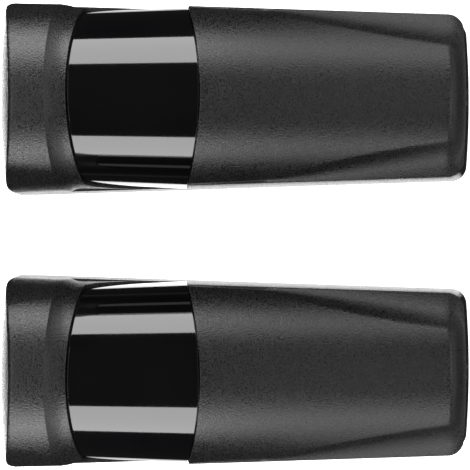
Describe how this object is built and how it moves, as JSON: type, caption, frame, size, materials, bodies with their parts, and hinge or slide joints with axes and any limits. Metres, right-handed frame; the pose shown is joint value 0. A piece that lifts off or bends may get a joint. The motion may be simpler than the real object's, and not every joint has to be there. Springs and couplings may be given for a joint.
{
  "type": "infrared beam sensor",
  "caption": "Wall-mounted infrared beam sensor pair: arched hood, wrap-round dark window over a swivelling lens head, and a tapered lift-off cover with scooped sides.",
  "frame": {"origin": "on the surface that both backs lie on, at the middle of the pair's footprint", "axes": "+X from the hoods to the cable ends, +Y from the receiver to the transmitter, +Z out of the fronts, away from the wall"},
  "size_m": [0.1298, 0.1278, 0.036],
  "materials": {
    "housing_abs": "spark-textured moulded ABS, black",
    "cover_abs": "spark-textured moulded ABS, black",
    "window_plastic": "polished infrared-pass polycarbonate, black to the eye",
    "seal_rubber": "moulded EPDM, dull",
    "screw_steel": "zinc-plated",
    "frame_plastic": "moulded acetal, dark grey",
    "knob_plastic": "moulded acetal, mid grey",
    "barrel_plastic": "moulded ABS, black",
    "lens_acrylic": "clear moulded acrylic",
    "circuit_board": "green solder mask",
    "led_epoxy": "blue-tinted clear epoxy",
    "lead_pvc": "extruded PVC, dark red",
    "plug_nylon": "natural nylon",
    "terminal_plastic": "green polyamide",
    "chip_plastic": "moulded epoxy",
    "capacitor_sleeve": "shrunk PVC sleeve",
    "relay_case": "dark blue relay case",
    "indicator_epoxy": "red diffused epoxy",
    "switch_metal": "tinned steel"
  },
  "bodies": {
    "housings": {"transmitter_rear_housing": "housing_abs", "transmitter_ir_window": "window_plastic", "transmitter_window_gasket": "seal_rubber", "transmitter_cover_seal": "seal_rubber", "transmitter_cable_grommet": "seal_rubber", "transmitter_swivel_bracket": "frame_plastic", "transmitter_bracket_screws": "screw_steel", "transmitter_head_lead": "lead_pvc", "transmitter_lead_plug": "plug_nylon", "transmitter_main_board": "circuit_board", "transmitter_board_screws": "screw_steel", "transmitter_terminal_block": "terminal_plastic", "transmitter_terminal_screws": "screw_steel", "transmitter_chips": "chip_plastic", "transmitter_capacitors": "capacitor_sleeve", "transmitter_voltage_regulator": "chip_plastic", "transmitter_indicator_led": "indicator_epoxy", "transmitter_selector_switch": "switch_metal", "receiver_rear_housing": "housing_abs", "receiver_ir_window": "window_plastic", "receiver_window_gasket": "seal_rubber", "receiver_cover_seal": "seal_rubber", "receiver_cable_grommet": "seal_rubber", "receiver_swivel_bracket": "frame_plastic", "receiver_bracket_screws": "screw_steel", "receiver_head_lead": "lead_pvc", "receiver_lead_plug": "plug_nylon", "receiver_main_board": "circuit_board", "receiver_board_screws": "screw_steel", "receiver_terminal_block": "terminal_plastic", "receiver_terminal_screws": "screw_steel", "receiver_chips": "chip_plastic", "receiver_capacitors": "capacitor_sleeve", "receiver_relay": "relay_case", "receiver_indicator_led": "indicator_epoxy", "receiver_selector_switch": "switch_metal"},
    "transmitter_cover": {"transmitter_front_cover": "cover_abs"},
    "transmitter_screw": {"transmitter_cover_screw": "screw_steel"},
    "transmitter_swivel": {"transmitter_swivel_yoke": "frame_plastic", "transmitter_swivel_knob": "knob_plastic"},
    "transmitter_head": {"transmitter_lens_barrel": "barrel_plastic", "transmitter_lens": "lens_acrylic", "transmitter_lens_ring": "barrel_plastic", "transmitter_optics_board": "circuit_board", "transmitter_infrared_led": "led_epoxy"},
    "transmitter_slider": {"transmitter_selector_slider": "plug_nylon"},
    "receiver_cover": {"receiver_front_cover": "cover_abs"},
    "receiver_screw": {"receiver_cover_screw": "screw_steel"},
    "receiver_swivel": {"receiver_swivel_yoke": "frame_plastic", "receiver_swivel_knob": "knob_plastic"},
    "receiver_head": {"receiver_lens_barrel": "barrel_plastic", "receiver_lens": "lens_acrylic", "receiver_lens_ring": "barrel_plastic", "receiver_optics_board": "circuit_board", "receiver_photodiode": "chip_plastic"},
    "receiver_slider": {"receiver_selector_slider": "plug_nylon"}
  },
  "joints": [
    {"name": "transmitter_cover_lift", "type": "slide", "parent": "housings", "child": "transmitter_cover", "axis": [0, 0, 1], "range_m": [0, 0.03]},
    {"name": "transmitter_cover_screw_turn", "type": "hinge", "parent": "housings", "child": "transmitter_screw", "pos_m": [0.05515, 0.03756, 0.011], "axis": [1, 0, 0], "continuous": true},
    {"name": "transmitter_swivel_pan", "type": "hinge", "parent": "housings", "child": "transmitter_swivel", "pos_m": [-0.02735, 0.03756, 0.0165], "axis": [1, 0, 0], "range_deg": [-90, 90]},
    {"name": "transmitter_head_tilt", "type": "hinge", "parent": "transmitter_swivel", "child": "transmitter_head", "pos_m": [-0.02735, 0.03756, 0.0165], "axis": [0, 1, 0], "range_deg": [-15, 15]},
    {"name": "transmitter_selector_slide", "type": "slide", "parent": "housings", "child": "transmitter_slider", "axis": [1, 0, 0], "range_m": [0, 0.002]},
    {"name": "receiver_cover_lift", "type": "slide", "parent": "housings", "child": "receiver_cover", "axis": [0, 0, 1], "range_m": [0, 0.03]},
    {"name": "receiver_cover_screw_turn", "type": "hinge", "parent": "housings", "child": "receiver_screw", "pos_m": [0.05515, -0.03756, 0.011], "axis": [1, 0, 0], "continuous": true},
    {"name": "receiver_swivel_pan", "type": "hinge", "parent": "housings", "child": "receiver_swivel", "pos_m": [-0.02735, -0.03756, 0.0165], "axis": [1, 0, 0], "range_deg": [-90, 90]},
    {"name": "receiver_head_tilt", "type": "hinge", "parent": "receiver_swivel", "child": "receiver_head", "pos_m": [-0.02735, -0.03756, 0.0165], "axis": [0, 1, 0], "range_deg": [-15, 15]},
    {"name": "receiver_selector_slide", "type": "slide", "parent": "housings", "child": "receiver_slider", "axis": [1, 0, 0], "range_m": [0, 0.002]}
  ]
}
